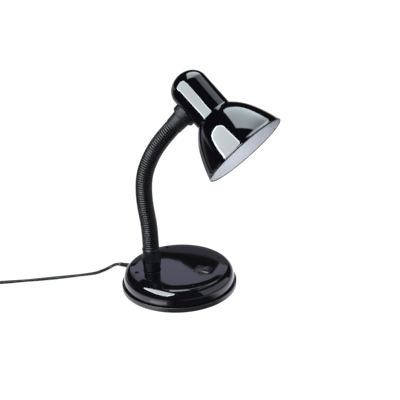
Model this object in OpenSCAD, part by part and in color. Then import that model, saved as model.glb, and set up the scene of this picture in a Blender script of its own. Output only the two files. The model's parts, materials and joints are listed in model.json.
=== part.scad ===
// Gooseneck desk lamp: weighted round base with a rocker switch, bendable ribbed neck
// and a one-piece cap-and-bell shade over a screw lampholder.
// Millimetres. Z is up, the origin is the centre of the foot ring on the table,
// the switch is at +X and the neck rises at -X.

/* [Base] */
// Diameter over the rim of the bottom plate
base_d = 150; // [148:1:156]
// Height of the flat middle of the top face
base_h = 27; // [26.5:0.5:29]
// Wall of the moulded shell
shell_t = 2.4; // [2:0.1:2.8]
// Diameter of the crisp edge round the top face
ridge_d = 127.6; // [125:0.2:130]
// Diameter of the circle on which the screw posts stand
post_ring_d = 112.8; // [110:0.2:115]
// Thickness of the steel ballast disc
ballast_t = 6; // [4:0.5:6]

/* [Switch] */
// Distance of the rocker switch from the middle of the base
switch_x = 36; // [34:0.5:38]
// Length of the switch bezel
bezel_l = 21; // [20.5:0.1:22]
// Width of the switch bezel
bezel_w = 15; // [14.8:0.1:16]
// Tilt of the rocker each way from level
rocker_tilt = 12; // [8:1:13]

/* [Neck] */
// Distance of the neck behind the middle of the base
neck_back = 41; // [40:0.5:42]
// Outside diameter of the ribs
rib_d = 21.8; // [21:0.1:22.4]
// Length of one neck segment along its centreline
seg_len = 22.25; // [21:0.25:24]
// Ribs on each segment
seg_ribs = 8; // [6:1:9]
// Bend of each segment, from the base up, in degrees
seg_bends = [-2, -6.5, 5.5, 8, 15.5, 10, 9, 4.5];
// Direction in which the neck is bent, turned from straight ahead
bend_azimuth = 18; // [0:1:30]
// Furthest that one neck joint turns each way
joint_turn = 12; // [4:1:12]

/* [Shade] */
// Diameter over the rim
rim_d = 109.2; // [106:0.2:112]
// Length from the rim to the top of the dome
shade_len = 121.5; // [118:0.5:123]
// Diameter of the cap
cap_d = 48.6; // [48:0.2:50]
// Distance from the rim to the crease between bell and cap
crease_z = 57; // [55:0.5:59]
// Distance from the rim to the axis of the neck
neck_entry_z = 83.5; // [82:0.5:86]
// Thickness of the sheet metal
sheet_t = 0.8; // [0.6:0.1:1.2]

/* [Cord] */
// Diameter of the mains lead
cord_d = 4.4; // [4.2:0.1:4.6]

/* [Hidden] */
// smoothness of round parts
$fn = 72;
fit = 0.05;                 // clearance of a turned part in its bore
gap = 0.3;                  // clearance of moulded parts

// base
foot_t = 1.2;
plate_t = 2;
rim_h = 7;                  // top of the plate's rim
body_r = base_d / 2 - 2;    // outside of the shell's side wall
seat_z = 8;                 // the shell stands here on the plate
shoulder_r = 14.7;          // rounding between side wall and top
shoulder_c = [body_r - shoulder_r, base_h - 14.9];
ridge_a = acos((ridge_d / 2 - shoulder_c[0]) / shoulder_r);
ridge_z = shoulder_c[1] + shoulder_r * sin(ridge_a);
flat_r = 54;                // the top is flat inside this radius
crown_drop = base_h - ridge_z;
crown_w = ridge_d / 2 - flat_r;
crown_r = (crown_w * crown_w + crown_drop * crown_drop) / (2 * crown_drop);
post_r = 4.2;
post_angles = [45, 135, 225, 315];
dimple_r = 2.6;
dimple_depth = 1.1;
ballast_r = 63;

// cord inlet
inlet_z = 10;
inlet_droop = 3.3;          // the lead leaves a little downwards
boot_len = 20;
boot_r = [3.5, 2.8];
boot_flange = 5;
clamp_w = 7;
clamp_at = 14;              // clamp, measured inwards from the wall
clamp_screw_y = 8;

// switch
bezel_t = 2;
body_l = bezel_l - 1.6;
body_w = bezel_w - 1.8;
switch_bottom = 14.5;
window_l = 17.4;
window_w = 9.8;
rocker_r = 8.4;
pivot_z = base_h - 0.6;
pivot_r = 1.2;
blade_z = 18.2;
blade_ratio = 0.5;

// neck
neck_x = -neck_back;
collar_h = 14;
cuff_h = 3.3;
start_z = base_h + collar_h + cuff_h + 1.2;   // pivot of the lowest neck joint
n_seg = len(seg_bends);
rib_r = rib_d / 2;
rib_w = 1.1;
core_r = rib_r - 1.1;
sleeve_bore_r = 8.4;
conduit_r = 8;
bore_r = 4.2;
ball_r = 6.6;
seat_r = ball_r + 0.08;
end_gap = rib_r * tan(joint_turn / 2 + 1) + 0.1;  // sleeve end to pivot
steel_gap = conduit_r * sin(joint_turn) / 2 + 0.12;  // conduit end to pivot
tail_len = 8;               // the last length runs on into the ferrule
lead_r = 1.05;
lead_y = 1.4;
thread_r = 5;

// head
ferrule_len = 16.2;
flange_t = 6.2;
flange_r = 15.2;
cap_r = cap_d / 2;
head_offset = ferrule_len + flange_t + cap_r;     // neck end to shade axis
bell_angle = 48;            // flare where the bell leaves the cap
mid_angle = 27;             // flare where the two arcs of the bell meet
mid_z = 34.5;
fillet_r = 4;
dome_h = 20.5;
bracket_w = 12;
bracket_x = sqrt((cap_r - sheet_t) * (cap_r - sheet_t) - bracket_w * bracket_w / 4) - 0.05;
holder_r = 16;
holder_z = [72, 108];
globe_r = 22.5;
globe_z = 44;

// ---------------------------------------------------------------- cord route
// centreline of the lead from the boot to the coil, and from the coil to the plug
cord_route = [
    [-93, 0, 8.8], [-97, -0.5, 8], [-100.5, -1.7, 6.8], [-103.5, -3.6, 5.2], [-106.2, -6.2, 3.7],
    [-108.4, -9.3, 2.7], [-110.2, -12.8, 2.3], [-111.8, -16.6, 2.3], [-113.2, -20.2, 2.3],
    [-115.2, -23.8, 2.3], [-118, -27, 2.3], [-122, -30.6, 2.3], [-130, -37, 2.3], [-142, -46.4, 2.3],
    [-156, -56.8, 2.3], [-170, -66.8, 2.3], [-184, -76.4, 2.3], [-198, -85.6, 2.3],
    [-212, -94.6, 2.3], [-225, -102.6, 2.3], [-237.6, -110.9, 2.3], [-248.4, -119.9, 2.3],
    [-255.4, -125.9, 2.3]];
cord_end_route = [
    [-258.8, -168.8, 2.3], [-254.5, -172.8, 2.3], [-250, -176.2, 2.4], [-243.5, -180, 2.9],
    [-236.4, -183, 3.9], [-229, -185.2, 5.1], [-221, -186.8, 6], [-213, -188, 6.5]];
coil_c = [-236, -146];
coil_r = 25.4;
coil_w = 18.6;
coil_h = 16.2;
plug_dir = -10;             // direction in which the plug points

// ---------------------------------------------------------------- helpers
// points on an arc about c, from angle a to angle b
function arc(c, r, a, b, n) =
    [for (i = [0:n]) let (t = a + (b - a) * i / n) [c[0] + r * cos(t), c[1] + r * sin(t)]];
function reversed(p) = [for (i = [len(p) - 1:-1:0]) p[i]];
function sum_to(v, k) = k <= 0 ? 0 : v[k - 1] + sum_to(v, k - 1);

// step from one end of a segment to the other, seen in its own start frame
function bend_radius(b) = seg_len * 180 / (PI * b);
function seg_step(b) = [bend_radius(b) * (1 - cos(b)), bend_radius(b) * sin(b)];
// place of joint k in the bend plane: [forward, up]
function joint_pos(k) = k <= 0 ? [0, 0]
    : let (p = joint_pos(k - 1), s = seg_step(seg_bends[k - 1]), a = sum_to(seg_bends, k - 1))
        [p[0] + s[0] * cos(a) + s[1] * sin(a), p[1] - s[0] * sin(a) + s[1] * cos(a)];

// a round tube swept along a list of points, as one closed polyhedron
function unit(v) = v / norm(v);
function tangent(p, i) = unit(p[min(i + 1, len(p) - 1)] - p[max(i - 1, 0)]);
function side_of(t) = unit(cross(t, abs(t[2]) < 0.9 ? [0, 0, 1] : [1, 0, 0]));
function spline(a, b, c, d, t) = 0.5 * (2 * b + (c - a) * t + (2 * a - 5 * b + 4 * c - d) * t * t
    + (3 * b - a - 3 * c + d) * t * t * t);
function smooth(p, n) = concat([for (i = [0:len(p) - 2]) for (j = [0:n - 1])
    spline(p[max(i - 1, 0)], p[i], p[i + 1], p[min(i + 2, len(p) - 1)], j / n)], [p[len(p) - 1]]);
module tube(path, r, sides = 8) {
    rings = [for (i = [0:len(path) - 1])
        let (t = tangent(path, i), u = side_of(t), w = cross(t, u))
        for (j = [0:sides - 1]) path[i] + r * (cos(360 * j / sides) * u + sin(360 * j / sides) * w)];
    n = len(path);
    polyhedron(points = rings, faces = concat(
        [[for (j = [0:sides - 1]) j]],
        [[for (j = [sides - 1:-1:0]) (n - 1) * sides + j]],
        [for (i = [0:n - 2]) for (j = [0:sides - 1]) let (k = (j + 1) % sides)
            [i * sides + j, (i + 1) * sides + j, (i + 1) * sides + k]],
        [for (i = [0:n - 2]) for (j = [0:sides - 1]) let (k = (j + 1) % sides)
            [i * sides + j, (i + 1) * sides + k, i * sides + k]]));
}

module ring(r_out, r_in, h) {
    difference() {
        cylinder(r = r_out, h = h);
        translate([0, 0, -1]) cylinder(r = r_in, h = h + 2);
    }
}
module at_posts() {
    for (a = post_angles) rotate([0, 0, a]) translate([post_ring_d / 2, 0, 0]) children();
}
module at_neck() translate([neck_x, 0, 0]) children();
module at_switch() translate([switch_x, 0, 0]) children();
// local Z points out of the base along the lead
module at_inlet() translate([-body_r, 0, inlet_z]) rotate([0, -90 - inlet_droop, 0]) children();

// local X is up, across the lead at the clamp's parting face
module at_clamp() at_inlet() translate([0, 0, -clamp_at]) children();
// local Z is up through each clamp screw
module at_clamp_screws() for (s = [-1, 1]) at_clamp() translate([0, s * clamp_screw_y, 0])
    rotate([0, 90, 0]) children();

// frame of neck joint k: Z along the neck, X in the bend plane
module at_joint(k) {
    p = joint_pos(k);
    translate([neck_x, 0, start_z]) rotate([0, 0, bend_azimuth])
        translate([p[0], 0, p[1]]) rotate([0, sum_to(seg_bends, k), 0]) children();
}
// frame of the head: Z along the neck's end, X along the shade towards its rim
module at_head() at_joint(n_seg) rotate([0, 0, -bend_azimuth]) children();
// frame of the shade: Z from the rim towards the dome, the neck comes from -X
module at_shade() at_head() translate([neck_entry_z, 0, head_offset]) rotate([0, -90, 0]) children();

// stretch of a bent bar from one distance to another along a segment with bend b
module bent(b, from, to) {
    per = abs(b) / seg_len;
    big_r = abs(bend_radius(b));
    mirror([b < 0 ? 1 : 0, 0, 0]) translate([big_r, 0, 0]) rotate([90, 0, 180])
        rotate([0, 0, from * per]) rotate_extrude(angle = (to - from) * per)
            translate([big_r, 0, 0]) children();
}
module seg_end(b) {
    s = seg_step(b);
    translate([s[0], 0, s[1]]) rotate([0, b, 0]) children();
}

// ---------------------------------------------------------------- base
function shell_outline(t) = concat(
    [[body_r - t, seat_z]],
    arc(shoulder_c, shoulder_r - t, 0, ridge_a, 12),
    arc([flat_r, base_h - crown_r], crown_r - t,
        90 - asin((ridge_d / 2 - t * 0.4 - flat_r) / (crown_r - t)), 90, 6),
    [[0, base_h - t]]);

module base_shell() color([0.03, 0.03, 0.04]) difference() {
    union() {
        rotate_extrude() polygon(concat(shell_outline(0), reversed(shell_outline(shell_t))));
        at_posts() translate([0, 0, plate_t + foot_t]) cylinder(r = post_r, h = base_h - 5.2);
    }
    at_posts() {
        translate([0, 0, base_h - 0.1 - dimple_depth]) cylinder(r = dimple_r, h = 5);
        translate([0, 0, 0]) cylinder(r = 1.5 + fit, h = 15);
    }
    at_neck() cylinder(r = thread_r + gap, h = base_h + 5);
    at_switch() translate([-body_l / 2 - fit, -body_w / 2 - fit, seat_z])
        cube([body_l + 2 * fit, body_w + 2 * fit, base_h]);
    at_inlet() translate([0, 0, -8]) cylinder(r = boot_r[0] + 0.1, h = 16);
}

module bottom_plate() color([0.10, 0.10, 0.11]) difference() {
    union() {
        rotate_extrude() polygon(concat(
            [[0, foot_t], [base_d / 2 - 2.4, foot_t]],
            arc([base_d / 2 - 1.6, foot_t + 1.6], 1.6, -90, 0, 5),
            arc([base_d / 2 - 1.2, rim_h - 1.2], 1.2, 0, 90, 5),
            [[body_r - 1, rim_h], [body_r - 1, seat_z], [body_r - shell_t - gap, seat_z],
                [body_r - shell_t - gap, seat_z + 3], [body_r - shell_t - gap - 2, seat_z + 3],
                [body_r - shell_t - gap - 2, foot_t + plate_t], [0, foot_t + plate_t]]));
        // saddle under the lead
        translate([-body_r + clamp_at - clamp_w / 2, -11.5, foot_t]) cube([clamp_w, 23, inlet_z - foot_t]);
    }
    at_clamp() translate([0, -20, -20]) cube([20, 40, 40]);
    at_inlet() translate([0, 0, -clamp_at - 8]) cylinder(r = cord_d / 2 + fit, h = 20);
    at_posts() {
        translate([0, 0, foot_t - 0.01]) cylinder(r1 = 3.3, r2 = 1.7, h = 1.6);
        cylinder(r = 1.7, h = 6);
    }
    // grooves for the foot ring and the boot
    translate([0, 0, foot_t - 0.5]) difference() {
        cylinder(r = 70, h = 1);
        translate([0, 0, -1]) cylinder(r = 60, h = 3);
    }
    at_inlet() translate([0, 0, -8]) cylinder(r = 5.8, h = 16);
    at_clamp_screws() translate([0, 0, -6]) cylinder(r = 1.2, h = 20);
}

module foot_ring() color([0.16, 0.16, 0.17]) ring(69.8, 60.2, foot_t + 0.5);

module ballast_disc() color([0.45, 0.45, 0.47]) translate([0, 0, foot_t + plate_t]) difference() {
    cylinder(r = ballast_r, h = ballast_t);
    at_posts() translate([0, 0, -1]) cylinder(r = post_r + gap, h = ballast_t + 2);
    translate([-ballast_r - 1, -14, -1]) cube([12, 28, ballast_t + 2]);
}

module plate_screws() color([0.7, 0.7, 0.72]) at_posts() difference() {
    union() {
        translate([0, 0, foot_t + 0.1]) cylinder(r1 = 3, r2 = 1.5, h = 1.4);
        translate([0, 0, foot_t + 0.6]) cylinder(r = 1.5, h = 13);
    }
    for (a = [0, 90]) rotate([0, 0, a]) translate([-2, -0.3, foot_t - 0.5]) cube([4, 0.6, 1.4]);
}

module strain_relief() color([0.05, 0.05, 0.05]) at_inlet() rotate_extrude() polygon([
    [cord_d / 2, -6], [boot_flange, -6], [boot_flange, -3.2], [boot_r[0], -3.2], [boot_r[0], 6],
    [boot_r[1], boot_len], [cord_d / 2, boot_len]]);

module cord_clamp() color([0.75, 0.75, 0.72]) difference() {
    at_clamp() translate([0.05, -11, -3]) cube([4.4, 22, 6]);
    at_inlet() translate([0, 0, -clamp_at - 8]) cylinder(r = cord_d / 2 + fit, h = 20);
    at_clamp_screws() translate([0, 0, -1]) cylinder(r = 1.5, h = 10);
}
module clamp_screws() color([0.7, 0.7, 0.72]) at_clamp_screws() {
    translate([0, 0, -4.5]) cylinder(r = 1.15, h = 9);
    translate([0, 0, 4.45]) cylinder(r = 2.4, h = 1.6);
}

// lead inside the base: the end of the mains lead, its live core to the switch, the switched
// core and the neutral core up the neck
module base_leads() color([0.85, 0.85, 0.82]) {
    at_inlet() translate([0, 0, -clamp_at - 6]) cylinder(r = cord_d / 2, h = clamp_at + 6 + boot_len - 0.1);
    live = [[-53, -1.1, 11.2], [-48, -3, 11.8], [-40, -8.6, 12.2], [-26, -12.6, 12.2],
        [-6, -11.6, 12.2], [12, -6.6, 12.2], [22, -2.4, 12.2], [29.6, 0, 12.2]];
    neutral = [[-53, 1.1, 11.2], [-49.4, 2, 11.8], [-44.8, 2.4, 12.6], [-41.8, 1.8, 15.4], [neck_x, lead_y, 20],
        [neck_x, lead_y, 32], [neck_x, lead_y, start_z - 1]];
    switched = [[neck_x, -lead_y, start_z - 1], [neck_x, -lead_y, 32], [neck_x, -lead_y, 21],
        [-40.2, -0.9, 15.4], [-37, 0.8, 12.8], [-26, 4.4, 12.2], [-6, 6.8, 12.2], [16, 6.6, 12.2],
        [28, 4.8, 12.2], [switch_x, 3.3, 12.2]];
    for (route = [live, neutral, switched]) tube(smooth(route, 3), lead_r);
}

// ---------------------------------------------------------------- switch
module switch_housing() color([0.04, 0.04, 0.05]) at_switch() difference() {
    union() {
        translate([-bezel_l / 2, -bezel_w / 2, base_h]) cube([bezel_l, bezel_w, bezel_t - 0.8]);
        translate([-bezel_l / 2 + 0.7, -bezel_w / 2 + 0.7, base_h + bezel_t - 0.8])
            cube([bezel_l - 1.4, bezel_w - 1.4, 0.8]);
        translate([-body_l / 2, -body_w / 2, switch_bottom])
            cube([body_l, body_w, base_h - switch_bottom]);
    }
    translate([-window_l / 2, -window_w / 2, switch_bottom + 1.2]) cube([window_l, window_w, 20]);
    translate([0, 0, pivot_z]) rotate([90, 0, 0])
        cylinder(r = pivot_r + fit, h = window_w + 2.6, center = true);
    // slots for the two terminals
    translate([-1.25, -2.25, switch_bottom - 1]) cube([2.5, 4.5, 4]);
    translate([-6.25, -2.25, switch_bottom - 1]) cube([0.9, 4.5, 4]);
}

// the rocker stands tilted, its outer end up
module switch_rocker() color([0.03, 0.03, 0.03]) at_switch() translate([0, 0, pivot_z])
    rotate([0, -rocker_tilt, 0]) rotate([90, 0, 0]) {
        linear_extrude(height = window_w - 0.4, center = true) {
            intersection() {
                circle(r = rocker_r);
                polygon([[-9, -1.2], [9, -1.2], [9, 4.6], [0, 2.8], [-9, 4.6]]);
            }
            polygon([[-1.3, -1.5], [-1.3, -6.2], [0, -7.4], [1.3, -6.2], [1.3, -1.5]]);
            polygon([[-3, -1], [-1.3, -3], [1.3, -3], [3, -1]]);
        }
        cylinder(r = pivot_r, h = window_w + 2.4, center = true);
    }

// the contact blade tips the other way under the rocker's stem
module contact_blade() color([0.72, 0.5, 0.3]) at_switch() translate([0, 0, blade_z])
    rotate([0, rocker_tilt * blade_ratio, 0]) {
        translate([-6.4, -2, -0.4]) cube([12.8, 4, 0.5]);
        for (s = [-1, 1]) translate([s * 5.6, 0, -0.9]) cylinder(r = 1, h = 0.6);
    }

module switch_terminals() color([0.8, 0.68, 0.35]) at_switch() {
    // pivot saddle in the middle and one fixed contact under the blade
    difference() {
        translate([-1.2, -2.2, 10.8]) cube([2.4, 4.4, blade_z - 10.8 - 0.7]);
        translate([-2, -0.4, 10]) cube([4, 0.8, 3]);
    }
    translate([-6.2, -2.2, 10.8]) cube([0.8, 4.4, 5.4]);
    translate([-6.6, -1.6, 16]) cube([2, 3.2, 0.5]);
}

// ---------------------------------------------------------------- neck
module neck_collar() color([0.05, 0.05, 0.055]) at_neck() translate([0, 0, base_h])
    rotate_extrude() polygon([[conduit_r + fit, 0], [12.8, 0], [12.4, 1.4], [11.2, collar_h - 1],
        [10.8, collar_h], [conduit_r + fit, collar_h]]);

module sleeve_cuff() color([0.05, 0.05, 0.055]) at_neck() translate([0, 0, base_h + collar_h])
    rotate_extrude() union() {
        translate([sleeve_bore_r, 0]) square([1.8, cuff_h]);
        intersection() {
            translate([10.2, cuff_h / 2]) circle(r = 1.65);
            translate([9, 0]) square([4, cuff_h]);
        }
    }

module base_fitting() color([0.75, 0.76, 0.78]) at_neck() difference() {
    union() {
        translate([0, 0, base_h]) cylinder(r = conduit_r, h = start_z - steel_gap - base_h);
        translate([0, 0, 15]) cylinder(r = thread_r, h = base_h - 14);
        translate([0, 0, start_z]) sphere(r = ball_r);
    }
    translate([0, 0, 10]) cylinder(r = bore_r, h = 60);
}

module hex_nut(flats, h, r) difference() {
    cylinder(r = flats / sqrt(3), h = h, $fn = 6);
    translate([0, 0, -1]) cylinder(r = r, h = h + 2);
}
module base_nut() color([0.75, 0.76, 0.78]) at_neck() {
    translate([0, 0, base_h - shell_t - 6]) hex_nut(15, 4.6, thread_r + fit);
    translate([0, 0, base_h - shell_t - 1.4]) ring(9.5, thread_r + fit, 1.4);
}

// ribbed sleeve: a bent tube that carries rings at even steps
module sleeve(k) color([0.05, 0.05, 0.055]) at_joint(k - 1) {
    b = seg_bends[k - 1];
    last = k == n_seg;
    from = end_gap;
    to = last ? seg_len - 0.05 : seg_len - end_gap;
    step = (to - from - rib_w) / (seg_ribs - 1);
    difference() {
        union() {
            bent(b, from, to) circle(r = core_r);
            for (i = [0:seg_ribs - 1]) bent(b, from + i * step, from + i * step + rib_w)
                circle(r = rib_r);
        }
        bent(b, 0, seg_len + 2) circle(r = sleeve_bore_r);
    }
}

// steel gooseneck tube: each length ends in a ball that seats in the next one
module conduit(k) color([0.6, 0.61, 0.63]) at_joint(k - 1) {
    b = seg_bends[k - 1];
    last = k == n_seg;
    difference() {
        union() {
            bent(b, steel_gap, last ? seg_len + tail_len : seg_len - steel_gap) circle(r = conduit_r);
            if (!last) seg_end(b) sphere(r = ball_r);
        }
        sphere(r = seat_r);
        bent(b, -1, seg_len + tail_len + 1) circle(r = bore_r);
        // thread for the head's nipple
        if (last) seg_end(b) translate([0, 0, 1]) cylinder(r = thread_r + fit, h = tail_len + 1);
    }
}

module leads(k) color([0.85, 0.85, 0.82]) at_joint(k - 1)
    for (s = [-1, 1]) bent(seg_bends[k - 1], 0.5, seg_len - (k == n_seg ? 0 : 0.5))
        translate([0, s * lead_y]) circle(r = lead_r);

// ---------------------------------------------------------------- head
module neck_ferrule() color([0.06, 0.06, 0.065]) at_head() rotate_extrude() polygon([
    [conduit_r + 0.15, 0], [10.4, 0], [10.9, 0.5], [11.7, ferrule_len - 0.6], [11.3, ferrule_len],
    [thread_r + fit, ferrule_len], [thread_r + fit, 8.6], [conduit_r + 0.15, 8.6]]);

module head_flange() color([0.06, 0.06, 0.065]) at_head() difference() {
    rotate_extrude() polygon(concat([[thread_r + fit, ferrule_len]],
        [[flange_r - 1.4, ferrule_len]],
        arc([flange_r - 1.4, ferrule_len + 1.4], 1.4, -75, 0, 4),
        [[flange_r, ferrule_len + 13], [thread_r + fit, ferrule_len + 13]]));
    translate([0, 0, head_offset]) rotate([0, 90, 0]) cylinder(r = cap_r + 0.02, h = 60, center = true, $fn = 120);
}

module head_nipple() color([0.8, 0.68, 0.35]) at_head() translate([0, 0, 2])
    ring(thread_r, 3.2, head_offset - bracket_x + 4.2 - 2);

module head_nut() color([0.8, 0.68, 0.35]) at_head()
    translate([0, 0, head_offset - bracket_x + 1.5]) hex_nut(13.5, 2.6, thread_r + fit);

// outline of the shade from the rim to the top, moved inwards by t
function bell_r1() = (crease_z - 1.5 - mid_z) / (sin(bell_angle) - sin(mid_angle));
function bell_start() = cap_r + fillet_r * (1 - cos(bell_angle));
function mid_r() = bell_start() + bell_r1() * (cos(mid_angle) - cos(bell_angle));
function end_angle() = 2 * atan((rim_d / 2 - mid_r()) / mid_z) - mid_angle;
function bell_r2() = mid_z / (sin(mid_angle) - sin(end_angle()));
function shade_outline(t) = let (
        c2 = [rim_d / 2 - bell_r2() * cos(end_angle()), -bell_r2() * sin(end_angle())],
        c1 = [mid_r() - bell_r1() * cos(mid_angle), mid_z - bell_r1() * sin(mid_angle)],
        cf = [cap_r + fillet_r, crease_z - 1.5 + fillet_r * sin(bell_angle)],
        dome_z = shade_len - dome_h) concat(
    arc(c2, bell_r2() - t, end_angle(), mid_angle, 8),
    arc(c1, bell_r1() - t, mid_angle + 3, bell_angle, 7),
    arc(cf, fillet_r + t, 180 + bell_angle - 8, 180, 5),
    [for (i = [0:18]) let (a = 5 * i) [(cap_r - t) * cos(a), dome_z + (dome_h - t) * sin(a)]]);

module lamp_shade() color([0.02, 0.02, 0.025]) difference() {
    at_shade() rotate_extrude($fn = 96) union() {
        polygon(concat(shade_outline(0), reversed(shade_outline(sheet_t))));
        translate([rim_d / 2 - 0.9, 0.6]) circle(r = 1.3, $fn = 24);
    }
    at_head() cylinder(r = thread_r + 0.2, h = head_offset);
}

// bent strip that the neck's nut clamps and the lampholder hangs from
module holder_bracket() color([0.7, 0.71, 0.73]) at_shade() difference() {
    rotate([90, 0, 0]) linear_extrude(height = bracket_w, center = true) polygon([
        [-bracket_x, neck_entry_z - 9], [-bracket_x, 101], [-18.6, holder_z[1] + 2.6],
        [8, holder_z[1] + 2.6], [8, holder_z[1] + 1.1], [-17.6, holder_z[1] + 1.1],
        [1.5 - bracket_x, 100.6], [1.5 - bracket_x, neck_entry_z - 9]]);
    translate([0, 0, neck_entry_z]) rotate([0, 90, 0]) cylinder(r = thread_r + fit, h = 60, center = true);
    for (s = [-1, 1]) translate([s * 5, 0, 100]) cylinder(r = 1.6, h = 20);
}

module lampholder() color([0.9, 0.89, 0.86]) at_shade() difference() {
    union() {
        translate([0, 0, holder_z[0]]) cylinder(r = holder_r, h = holder_z[1] - holder_z[0] - 3);
        translate([0, 0, holder_z[1] - 3]) cylinder(r1 = holder_r, r2 = holder_r - 4, h = 3);
        translate([0, 0, holder_z[1] - 0.1]) cylinder(r = 8, h = 1.2);
    }
    translate([0, 0, holder_z[0] - 1]) cylinder(r = 14, h = 28);
    for (s = [-1, 1]) translate([s * 5, 0, 100]) cylinder(r = 1.4, h = 20);
}
module holder_screws() color([0.7, 0.71, 0.73]) at_shade() for (s = [-1, 1]) translate([s * 5, 0, 0]) {
    translate([0, 0, 101]) cylinder(r = 1.35, h = holder_z[1] - 98.4);
    translate([0, 0, holder_z[1] + 2.6]) cylinder(r = 2.5, h = 1.5);
}

// rolled thread of the lampholder, as rings at the thread's pitch
module screw_shell() color([0.82, 0.7, 0.36]) at_shade() rotate_extrude() polygon(concat(
    [for (i = [0:24]) [13.35 + 0.15 * cos(i * 60), 74 + i * 0.9]],
    [for (i = [24:-1:0]) [13.75 + 0.15 * cos(i * 60), 74 + i * 0.9]]));

module centre_contact() color([0.82, 0.7, 0.36]) at_shade() {
    translate([-5, -2.5, 98.5]) cube([10, 5, 0.5]);
    translate([-1.6, -2.5, 98.1]) cube([3.2, 5, 0.5]);
}

// the two cores go up the nipple, over the holder's shoulder and down into its back
module head_leads() color([0.85, 0.85, 0.82]) at_head() for (s = [-1, 1])
    tube(smooth([[0, s * lead_y, 0.5], [0, s * lead_y, 12], [0, s * lead_y, 24.5], [-0.5, s * 1.6, 27.8],
        [-3, s * 2.8, 29.4], [-7, s * 4.2, 29.4], [-13, s * 6, 29.4], [-20, s * 7.8, 29.8],
        [-24.8, s * 8.4, 31.8], [-26.2, s * 8.8, 34.2], [-26, s * 9, 35.8], [-24.6, s * 9, 36.2]], 3),
        lead_r * 0.8);

// frosted envelope with a 1 mm wall
function globe_outline(t) = concat(
    arc([0, globe_z], globe_r - t, -90, 48, 23),
    [[13.6 - t, 63.4], [12.6 - t, 67], [12.1 - t, 70.5], [12.1 - t, 74.6]]);
module bulb_globe() color([0.97, 0.97, 0.95]) at_shade()
    rotate_extrude() polygon(concat(globe_outline(0), reversed(globe_outline(1))));

module bulb_cap() color([0.8, 0.8, 0.8]) at_shade() rotate_extrude() polygon(concat(
    [[11.9, 74.7], [12.9, 74.7]],
    [for (i = [0:22]) [12.85 + 0.15 * cos(i * 60 + 120), 75.2 + i * 0.9]],
    [[11, 96], [5, 97], [4.6, 98.1], [0, 98.1], [0, 96.9], [4.4, 96], [10.4, 95], [11.9, 94]]));

// ---------------------------------------------------------------- lead and plug
module cord() color([0.04, 0.04, 0.04]) tube(smooth(cord_route, 2), cord_d / 2, 10);

module cord_end() color([0.04, 0.04, 0.04]) tube(smooth(cord_end_route, 2), cord_d / 2, 10);

module cord_coil() color([0.04, 0.04, 0.04]) translate([coil_c[0], coil_c[1], 0])
    rotate_extrude() polygon(concat(
        arc([coil_r - coil_w / 2 + 3, 3], 3, 180, 270, 4), arc([coil_r + coil_w / 2 - 3, 3], 3, 270, 360, 4),
        arc([coil_r + coil_w / 2 - 4, coil_h - 4], 4, 0, 90, 4),
        arc([coil_r - coil_w / 2 + 4, coil_h - 4], 4, 90, 180, 4)));

module cord_tie() color([0.08, 0.08, 0.08]) translate([coil_c[0], coil_c[1], 0]) rotate([0, 0, 60])
    translate([coil_r, 0, 0]) difference() {
        translate([-coil_w / 2 - 1.2, -2.5, 0]) cube([coil_w + 2.4, 5, coil_h + 1.2]);
        translate([-coil_w / 2 - 0.2, -3, -1]) cube([coil_w + 0.4, 6, coil_h + 1.2]);
    }

module at_plug() translate(cord_end_route[len(cord_end_route) - 1]) rotate([0, 0, plug_dir]) children();
module plug_body() color([0.04, 0.04, 0.04]) at_plug() {
    rotate([0, 90, 0]) rotate_extrude() polygon([[0, 0], [3.2, 0], [4.6, 12], [0, 12]]);
    translate([11.5, 0, 0]) hull() {
        for (y = [-1, 1]) for (z = [-1, 1]) {
            translate([1.5, y * 6.5, z * 2.6]) sphere(r = 2.4, $fn = 24);
            translate([17, y * 9, z * 3.6]) sphere(r = 2.8, $fn = 24);
            translate([21.6, y * 9.4, z * 4.1]) sphere(r = 2.3, $fn = 24);
        }
    }
}
module plug_pins() color([0.85, 0.72, 0.4]) at_plug() for (s = [-1, 1])
    translate([34, s * 6.35 - 0.75, -3.2]) difference() {
        cube([18, 1.5, 6.4]);
        translate([14.5, -1, 3.2]) rotate([-90, 0, 0]) cylinder(r = 1.4, h = 4);
    }

base_shell();
bottom_plate();
foot_ring();
ballast_disc();
plate_screws();
neck_collar();
sleeve_cuff();
base_fitting();
base_nut();
switch_housing();
switch_terminals();
switch_rocker();
contact_blade();
cord_clamp();
clamp_screws();
strain_relief();
base_leads();
sleeve(1);  // sleeve_1
sleeve(2);  // sleeve_2
sleeve(3);  // sleeve_3
sleeve(4);  // sleeve_4
sleeve(5);  // sleeve_5
sleeve(6);  // sleeve_6
sleeve(7);  // sleeve_7
sleeve(8);  // sleeve_8
conduit(1);  // conduit_1
conduit(2);  // conduit_2
conduit(3);  // conduit_3
conduit(4);  // conduit_4
conduit(5);  // conduit_5
conduit(6);  // conduit_6
conduit(7);  // conduit_7
conduit(8);  // conduit_8
leads(1);  // leads_1
leads(2);  // leads_2
leads(3);  // leads_3
leads(4);  // leads_4
leads(5);  // leads_5
leads(6);  // leads_6
leads(7);  // leads_7
leads(8);  // leads_8
neck_ferrule();
head_flange();
head_nipple();
head_nut();
lamp_shade();
holder_bracket();
lampholder();
holder_screws();
screw_shell();
centre_contact();
head_leads();
bulb_globe();
bulb_cap();
cord();
cord_coil();
cord_end();
cord_tie();
plug_body();
plug_pins();
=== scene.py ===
# %% [markdown]
# # A gooseneck desk lamp
# This notebook dresses the packed model of a small desk lamp: a weighted round base with a
# rocker switch, a bendable ribbed neck and a glossy bell shade. The packed model is the frame:
# it says where every solid is and which body it moves with. Everything here is in metres.

# %% Load the frame
import json
import math
import bpy
import bmesh
from mathutils import Matrix, Vector

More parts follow.
